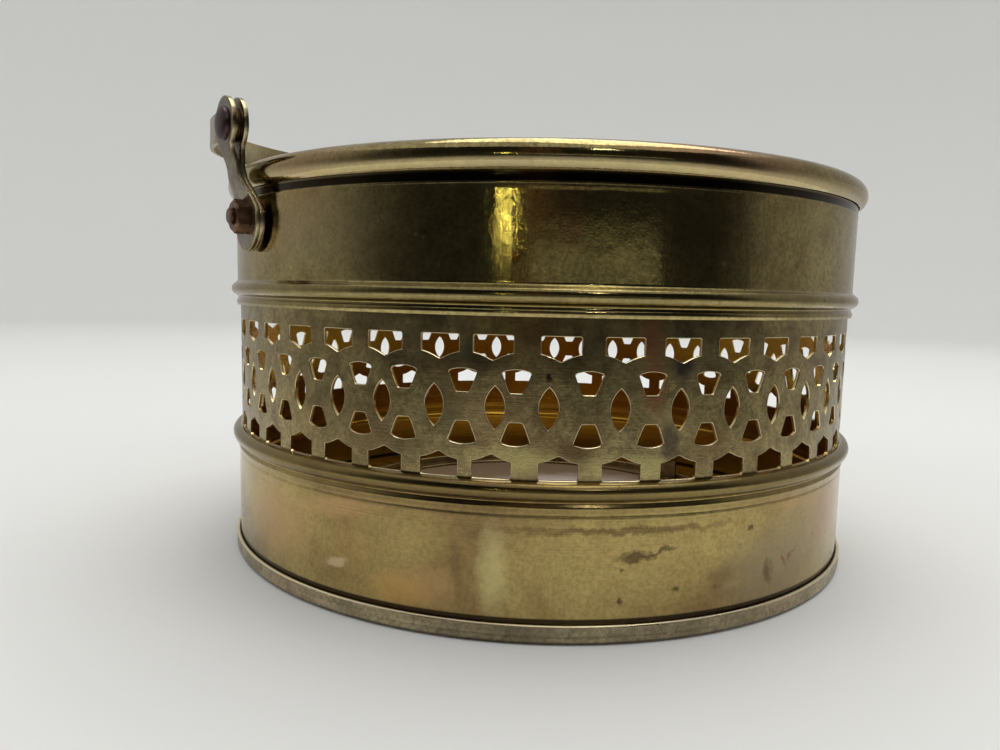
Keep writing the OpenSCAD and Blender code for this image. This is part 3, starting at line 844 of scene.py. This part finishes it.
bead_hi_z, bead_hi_r = 56.2, 1.5
collar_foot = 52.8
rim_z, roll_r, roll_c, curl_in = 77.4, 2.63, 69.0, 1.88
free_edge = 70.2
collar_line = [(band_inside, collar_foot + 0.3)]
collar_line += swaged_line(collar_foot + 0.02, 59.0, bead_hi_z, bead_hi_r)
collar_line += [(wall_r, z) for z in (60.5, 62, 64, 66, 68, 70, 72, 73.0)]
collar_line += [(wall_r + 0.05, 73.2), (wall_r + 0.07, 73.3), (wall_r + 0.05, 73.4),
                (wall_r, 73.6), (wall_r, 74.5), (wall_r, 75.1), (wall_r - 0.02, 75.8)]
start = degrees(atan2(-sqrt(curl_in ** 2 - 1), 1))
edge_in, edge_mid = free_edge - roll_c, free_edge + 0.12 - roll_c
end = degrees(atan2(-sqrt(curl_in ** 2 - edge_in ** 2), edge_in))
collar_line += arc(roll_c, rim_z, curl_in, start, end - 360, 44)
edge_end = degrees(atan2(-sqrt(roll_r ** 2 - edge_mid ** 2), edge_mid))
edge_low = rim_z - sqrt(roll_r ** 2 - edge_mid ** 2)
collar_line += [(free_edge, edge_low + 0.6), (free_edge, edge_low + 0.12),
                (free_edge + 0.04, edge_low + 0.03)]
collar_line += arc(roll_c, rim_z, roll_r, edge_end + 1.5, 270 + degrees(
    asin((band_inside - roll_c) / roll_r)), 64)
collar_line += [(band_inside, z) for z in (74.2, 72, 68, 64, 60)]
collar_line += arc(wall_r - 0.25, bead_hi_z, bead_hi_r - sheet, 113, -113, 12)
collar_stains = [
    (-94.6, 77, 0.4, 3.0, 0, (0.12, 0.08, 0.04), 0.5),
    (-89.6, 68, 2.2, 6.0, 0, (0.50, 0.26, 0.13), 0.6),
    (-96.4, 61.8, 1.0, 1.2, 20, (0.22, 0.09, 0.04), 0.85),
    (-125, 66, 16, 8, 0, (0.40, 0.34, 0.20), 0.4), (-73, 67, 8, 6, 0, (0.30, 0.24, 0.13), 0.4),
    (-76, 80, 12, 3, 0, (0.50, 0.28, 0.14), 0.5), (-66, 78, 14, 3, 0, (0.42, 0.22, 0.15), 0.5),
    (-128, 78, 14, 3, 0, (0.40, 0.24, 0.16), 0.4)]
collar_brass = aged_brass(
    "brass_collar", (0.55, 0.445, 0.19), (0.355, 0.285, 0.12), 0.5, 0.09, lines=0.0, wipes=0.30,
    grain=0.28, mottle=0.40, fine=0.45, specks=0.9, seed=3.7, stains_and_glints=collar_stains,
    inside=(69.7, deep_gold),
    tint_and_light_hoops=[
        (75.4, 81.0, 0.9, 69.7, (0.46, 0.365, 0.17), 0.85),
        # painted shade: a near-black band on the wall just under the curled rim, the shadow beneath
        # the curl
        (73.6, 75.6, 0.15, 70.1, (0.012, 0.009, 0.006), 0.95),
        (54.0, 57.4, 0.8, 72, (0.22, 0.175, 0.07), 0.5),
        # painted highlight: the lower side of the curl is painted lighter than the collar
        (75.2, 76.9, 0.5, 72, (0.66, 0.54, 0.29), 0.5)])
collar = outline_object("collar_sheet", collar_line, 40)
with_tree(collar, spun_sheet, Axis_to_outline=40 * MM, Steps_round=288, Waviness=0.08 * MM,
          Waves_a_metre=24.0, Finish=collar_brass)
settle(collar)
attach(collar, "drum")
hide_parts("collar")

# ---- Rim wire ----
# A drawn brass wire, bent to a ring, that stiffens the curled rim. It is seen only
# through the narrow slot under the curl, where it has never been polished.

wire_brass = aged_brass(
    "brass_rim_wire", (0.30, 0.22, 0.11), (0.16, 0.11, 0.06), 0.7, 0.4, grain=0.3, seed=6.2)
wire_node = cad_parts["rim_wire"]
wire_node.data.materials.clear()
wire_node.data.materials.append(wire_brass)

# ---- Pan locator ----
# A low ring of bent brass sheet fixed flat on the floor. The spirit pan drops into
# it and stays in the middle of the stove.

loc_in, loc_h, loc_reach = 51.05, 3.8, 54.05
loc_line = [(loc_in, base_t)] + [(loc_reach - 0.1, base_t), (loc_reach, base_t + 0.15)]
loc_line += arc(loc_reach - 0.2, base_t + sheet - 0.2, 0.2, 0, 90, 4)
loc_line += arc(loc_in + sheet + 0.5, base_t + sheet + 0.5, 0.5, 270, 180, 6)
loc_line += arc(loc_in + sheet / 2, loc_h - sheet / 2, sheet / 2, 0, 180, 10)
floor_brass = aged_brass(
    "brass_floor", (0.36, 0.29, 0.15), (0.17, 0.13, 0.07), 0.75, 0.34, mottle=0.5, grain=0.2,
    seed=4.4)
locator = spun("pan_locator_ring", loc_line, floor_brass, steps=180)
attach(locator, "drum")
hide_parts("pan_locator")

# ---- Bail ears ----
# Two leaves of brass strip stand at each end of the bail's axis. They lie together
# on a bolt through the wall, step out round the rim, and part to hold the bail.

bolt_z, pivot_z, leaf_t, leaf_round = 69.4, 85.8, 0.8, 0.12
lug_z, lug_r, eye_r, neck_half = 68.7, 5.6, 4.85, 2.65
ear_bearings = 37


# the leaf's outline, anticlockwise from the foot: round lug, shoulders, neck, round eye
def ear_outline():
    side = [(lug_r * cos(t), lug_z + lug_r * sin(t))
            for t in [radians(-90 + 112 * k / 22) for k in range(1, 23)]]
    side += [(4.3, 72.6), (3.5, 74.6), (3.0, 76.2), (neck_half, 78)]
    side += [(neck_half, z) for z in (79, 80, 81)]
    first = degrees(asin(neck_half / eye_r)) - 90 + 4
    side += arc(0, pivot_z, eye_r, first, 90, 20)[:-1]
    return ([(0, lug_z - lug_r)] + side + [(0, pivot_z + eye_r)]
            + [(-x, y) for x, y in side[::-1]])


# a round hole, clockwise
def round_hole(u, v, radius, count=24):
    return [(u + radius * cos(t), v + radius * sin(t))
            for t in [-2 * pi * k / count for k in range(count)]]


# how far a leaf has stepped out at a height, with the soft corners of a bend
def stepped(z, low, high, amount):
    part = min(1, max(0, (z - low) / (high - low)))
    return amount * (part * part * (3 - 2 * part) * 0.45 + part * 0.55)


leaf_plate = cut_plate([ear_outline(), round_hole(0, bolt_z, 1.55), round_hole(0, pivot_z, 1.31)],
                       leaf_t, leaf_round, 0.8)
ear_brass = aged_brass(
    "brass_ears", (0.36, 0.31, 0.21), (0.17, 0.14, 0.10), 0.65, 0.24, lines=0.0, grain=0.3,
    mottle=0.6, fine=0.4, specks=0.7, seed=5.1, burnished_edge_highlight=(0.62, 0.50, 0.26))
for name, foot_x, part_step, nodes in (
        ("ear_leaf_inner", 70.6, 0.0, ("ear_inner_a", "ear_inner_b")),
        ("ear_leaf_outer", 71.4, 1.34, ("ear_outer_a", "ear_outer_b"))):
    verts = [((foot_x + leaf_t + stepped(v, 71.2, 77.2, 2.4) + stepped(v, 78, 82.2, part_step)
               + w) * MM, u * MM, v * MM) for u, v, w in leaf_plate[0]]
    ears = copied_round(name, verts, leaf_plate[1], 2, ear_bearings, ear_brass, crease=30,
                        cut=burnish_and_highlight(leaf_plate, leaf_round, 0.8))
    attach(ears, "drum")
    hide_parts(*nodes)

# ---- Ear fasteners ----
# A spacer, a round-headed slotted bolt and a small nut fix each pair of leaves. A
# rivet with two domed heads holds the bail at its eye, with a washer beside it.
# They are copper-brown with handling and heat.


# a turned part on the ear's own axis from pairs of distance out and radius, and
# the reach of a hexagon across its flats where it has one
def turned_part(line, z, steps=36, flats=None, closed=True):
    rows, verts = [], []
    for x, r in line:
        if r == 0:
            rows.append([len(verts)] * steps)
            verts.append((x * MM, 0, z * MM))
            continue
        rows.append([len(verts) + k for k in range(steps)])
        for k in range(steps):
            t = 2 * pi * k / steps
            wide = r
            if flats and r > flats / 2:
                fold = (degrees(t) + 30) % 60 - 30
                wide = min(r, flats / 2 / cos(radians(fold)))
            verts.append((x * MM, wide * MM * cos(t), z * MM + wide * MM * sin(t)))
    faces = faces_between(rows + rows[:1] if closed else rows)
    return verts, [face[:1] + face[:0:-1] for face in faces]


copper_brown = aged_brass(
    "copper_brown", (0.27, 0.155, 0.085), (0.10, 0.055, 0.045), 0.7, 0.34, lines=0.0, grain=0.4,
    mottle=0.5, specks=0.8, seed=7.3)
purple_brown = aged_brass(
    "purple_brown", (0.11, 0.07, 0.07), (0.045, 0.03, 0.035), 0.7, 0.38, lines=0.0, grain=0.4,
    mottle=0.6, specks=0.6, seed=9.1)
nut_af = 5.5
thread_step = 0.36
thread = [(74.6, 1.45)] + [(x + thread_step * k, r) for k in range(2) for x, r in (
    (74.72, 1.5), (74.84, 1.5), (74.93, 1.3), (75.02, 1.3))]
fasteners = (
    ("ear_spacer_ring", "ear_spacer", bolt_z, None, True,
     [(70.0, 1.55), (70.0, 3.3), (70.12, 3.5), (70.5, 3.5), (70.6, 3.4), (70.6, 1.55)]),
    ("ear_bolt_turned", "ear_bolt", bolt_z, None, False,
     [(67.643, 0), (67.66, 0.9), (67.8, 1.7), (68.1, 2.3), (68.5, 2.65), (68.9, 2.8),
      (69.343, 2.8), (69.343, 1.5), (72, 1.5)] + thread + [(75.38, 1.2), (75.4, 1.05), (75.4, 0)]),
    ("ear_nut_hex", "ear_nut", bolt_z, nut_af, True,
     [(72.2, 1.52), (72.2, 2.9), (72.32, 3.2), (74.3, 3.2), (74.6, 2.62), (74.6, 1.75),
      (74.45, 1.52)]),
    ("bail_rivet", "pivot_rivet", pivot_z, None, False,
     [(71.8, 0), (71.82, 0.8), (71.92, 1.7), (72.12, 2.4), (72.45, 2.86), (72.8, 3.0), (73.0, 3.0),
      (73.0, 1.3), (75.94, 1.3), (75.94, 3.0), (76.14, 3.0), (76.5, 2.86), (76.82, 2.4),
      (77.02, 1.7), (77.12, 0.8), (77.14, 0)]),
    ("bail_washer", "pivot_washer", pivot_z, None, True,
     [(73.8, 1.34), (73.8, 2.9), (73.9, 3.0), (74.1, 3.0), (74.2, 2.9), (74.2, 1.34)]))
for name, node_name, z, flats, closed, line in fasteners:
    verts, faces = turned_part(line, z, 48 if flats else 36, flats, closed)
    if name == "ear_bolt_turned":
        slot_half, slot_floor = 0.35, 68.4
        bm = bmesh.new()
        corners = [bm.verts.new(v) for v in verts]
        for face in faces:
            bm.faces.new([corners[k] for k in face])
        for y in (-slot_half, -slot_half + 0.004, slot_half - 0.004, slot_half):
            bmesh.ops.bisect_plane(bm, geom=bm.verts[:] + bm.edges[:] + bm.faces[:],
                                   plane_co=(0, y * MM, 0), plane_no=(0, 1, 0), dist=1e-9)
        for v in bm.verts:
            if abs(v.co.y) < (slot_half - 0.003) * MM and v.co.x < slot_floor * MM:
                v.co.x = slot_floor * MM
        bm.verts.index_update()
        verts = [v.co[:] for v in bm.verts]
        faces = [[v.index for v in f.verts] for f in bm.faces]
        bm.free()
    part = copied_round(name, verts, faces, 2, ear_bearings,
                        purple_brown if name == "bail_rivet" else copper_brown, crease=28)
    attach(part, "drum")
    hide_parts(node_name + "_a", node_name + "_b")

# ---- Bail ----
# A flat strap of brass bent to a half circle, with a round eye at each end. It
# turns on the two rivets and lies folded a little above the rim.

bail_out, bail_inside, bail_half, bail_eye, bail_round = 75.05, 74.26, 2.8, 1.36, 0.13
bail_mid = (bail_out + bail_inside) / 2
bail_length = pi * bail_mid
bail_loop = [(bail_length * k / 150, -bail_half) for k in range(151)]
bail_loop += arc(bail_length, 0, bail_half, -90, 90, 16)[1:-1]
bail_loop += [(bail_length * k / 150, bail_half) for k in range(150, -1, -1)]
bail_loop += arc(0, 0, bail_half, 90, 270, 16)[1:-1]
strap = cut_plate([bail_loop, round_hole(0, 0, bail_eye), round_hole(bail_length, 0, bail_eye)],
                  bail_out - bail_inside, bail_round, 1.4)
bail_rest = 4.5
set_down = (Matrix.Translation((0, 0, pivot_z * MM))
            @ Matrix.Rotation(radians(ear_bearings), 4, "Z")
            @ Matrix.Rotation(radians(bail_rest), 4, "X"))
verts = [set_down @ Vector(((bail_out + w) * MM * cos(u / bail_mid),
                            (bail_out + w) * MM * sin(u / bail_mid), v * MM))
         for u, v, w in strap[0]]
bail_brass = aged_brass(
    "brass_bail", (0.42, 0.34, 0.17), (0.22, 0.16, 0.085), 0.65, 0.24, lines=0.0, grain=0.3,
    mottle=0.45, specks=0.7, seed=8.2, burnished_edge_highlight=(0.60, 0.49, 0.26))
bail = copied_round("bail_strap_bent", verts, strap[1], 1, 0, bail_brass, crease=30,
                    cut=burnish_and_highlight(strap, bail_round, 0.7))
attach(bail, "bail")
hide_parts("bail_strap")

# ---- Spirit pan ----
# A shallow pressed dish that holds the absorbent pad, and a flat ring that keeps
# the pad down. The dish stands loose on the floor inside its locating ring.

pan_r, pan_floor, pan_top, pan_t = 50.7, 0.8, 5.8, 0.6
dish_line = [(0, pan_floor), (30, pan_floor), (pan_r - 0.8, pan_floor)]
dish_line += arc(pan_r - 0.8, pan_floor + 0.8, 0.8, -80, 0, 7)
dish_line += arc(pan_r - pan_t / 2, pan_top - pan_t / 2, pan_t / 2, 0, 180, 10)
dish_line += arc(pan_r - pan_t - 0.25, pan_floor + pan_t + 0.25, 0.25, 0, -90, 4)
dish_line += [(30, pan_floor + pan_t), (0, pan_floor + pan_t)]
dish = spun("spirit_dish", dish_line, floor_brass, closed=False, steps=200)
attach(dish, "spirit_pan")
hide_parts("pan_dish")

ring_lo, ring_hi, ring_hole, ring_edge = 3.6, 4.2, 46.68, 50.06
ring_line = [(ring_edge, ring_lo + 0.1), (ring_edge, ring_hi - 0.1), (ring_edge - 0.1, ring_hi)]
ring_line += [((ring_edge + ring_hole) / 2, ring_hi)]
ring_line += arc(ring_hole + 0.2, ring_hi - 0.2, 0.2, 90, 180, 4)
ring_line += [(ring_hole, ring_lo + 0.05), (ring_hole + 0.05, ring_lo), (ring_edge - 0.1, ring_lo)]
hold_ring = spun("pad_ring", ring_line, floor_brass, steps=200)
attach(hold_ring, "spirit_pan")
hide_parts("pan_ring")

# ---- Finger tabs ----
# Two tabs of bent sheet stand on the pan's ring, one at each side. Their tops are
# turned inwards as lips, which lift the pan out with two fingers.

tab_half, tab_face, tab_foot, tab_lip, tab_lo, tab_hi = 4.5, 49.78, 47.0, 46.4, 4.2, 10.3
tab_in = tab_face - sheet
tab_line = [(tab_foot, tab_lo), (tab_in, tab_lo)]
tab_line += arc(tab_in, tab_lo + 0.6, 0.6, -70, 0, 5)
tab_line += arc(tab_in, tab_hi - 0.6, 0.6, 0, 90, 5)
tab_line += [(tab_lip + 0.1, tab_hi), (tab_lip, tab_hi - 0.1), (tab_lip, tab_hi - 0.5),
             (tab_lip + 0.1, tab_hi - 0.6), (tab_in - 0.2, tab_hi - 0.6), (tab_in, tab_hi - 0.8),
             (tab_in, tab_lo + 0.8), (tab_in - 0.2, tab_lo + 0.6), (tab_foot, tab_lo + 0.6)]
slices = (-tab_half, -tab_half + 0.1, -1.5, 1.5, tab_half - 0.1, tab_half)
verts = [(x * MM, y * MM, z * MM) for y in slices for x, z in tab_line]
count = len(tab_line)
rings = [[s * count + k for k in range(count)] for s in range(len(slices))]
faces = faces_between(rings) + [rings[0], rings[-1][::-1]]
tabs = copied_round("finger_tabs", verts, faces, 2, ear_bearings, floor_brass, crease=30)
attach(tabs, "spirit_pan")
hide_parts("pan_tab_a", "pan_tab_b")

# ---- Pad ----
# A thick round pad of felted mineral fibre that soaks up the spirit. It is soft, a
# little crowned, held down at its edge by the ring, and stained where it burnt.

pad_r, pad_lo, pad_hi, pad_crown = 50.0, 1.42, 3.58, 0.5
verts, rows = [], []
tucked_r, around = 46.4, 144
depths = {2: pad_hi - 0.02, 3: pad_hi - 0.08, 4: pad_hi - 0.5, 5: (pad_lo + pad_hi) / 2,
          6: pad_lo + 0.5, 7: pad_lo + 0.08, 8: pad_lo}
section = [(0, 0)] + [(tucked_r * k / 40, 0) for k in range(1, 41)] + [(47.4, 2), (48.6, 2)]
section += [(49.4, 3), (49.85, 4), (pad_r, 5), (49.85, 6), (49.4, 7), (45, 8), (30, 8), (15, 8),
            (0, 8)]
for r, kind in section:
    steps = around if r else 1
    rows.append([len(verts) + k for k in range(steps)] * (around // steps))
    for t in [2 * pi * k / around for k in range(steps)]:
        x, y, z = r * cos(t), r * sin(t), depths.get(kind)
        if z is None:
            lift = pad_crown * (1 - (r / tucked_r) ** 4)
            tuft = (0.16 * noise_at(Vector((x, y, 0)) * 0.22)
                    + 0.07 * noise_at(Vector((x, y, 7)) * 0.9))
            z = pad_hi - 0.03 + lift + tuft * (1 - (r / tucked_r) ** 6)
        verts.append((x * MM, y * MM, z * MM))
felt, shader = surface("felted_fibre", Roughness=0.95, Sheen_Weight=0.25)
tree = felt.node_tree
where = add(tree, "ShaderNodeTexCoord").outputs["Object"]
stain = add(tree, "ShaderNodeTexNoise", Vector=where, Scale=45, Detail=5)
tone = ramp(tree, stain, 0.35, (0.30, 0.24, 0.20), 0.62, (0.46, 0.39, 0.365))
# the middle of the pale patch lies off the pad's own, and its edge is ragged
ragged = add(tree, "ShaderNodeVectorMath", operation="MULTIPLY_ADD", i0=stain.outputs["Color"],
             i1=(30 * MM, 30 * MM, 0), i2=where)
pale_middle = add(tree, "ShaderNodeMapping", Vector=ragged, Location=(-26 * MM, -24 * MM, 0))
flat = add(tree, "ShaderNodeVectorMath", operation="MULTIPLY", i0=pale_middle, i1=(1, 1, 0))
out_from_middle = add(tree, "ShaderNodeVectorMath", operation="LENGTH", i0=flat)
burnt_edge = add(tree, "ShaderNodeMapRange", Value=out_from_middle.outputs["Value"],
                 From_Min=15 * MM, From_Max=27 * MM)
burnt = add(tree, "ShaderNodeMix", data_type="RGBA", i0=burnt_edge, i6=tone,
            i7=(0.13, 0.075, 0.025, 1))
tree.links.new(burnt.outputs[2], shader.inputs["Base Color"])
fibre = add(tree, "ShaderNodeTexNoise", Vector=where, Scale=1500, Detail=4, Distortion=1.5)
fuzz = add(tree, "ShaderNodeBump", Height=fibre, Strength=0.8, Distance=0.25 * MM)
tree.links.new(fuzz.outputs[0], shader.inputs["Normal"])
pad = copied_round("spirit_pad", verts, faces_between(rows), 1, 0, felt, crease=70)
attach(pad, "spirit_pan")
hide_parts("pan_pad")
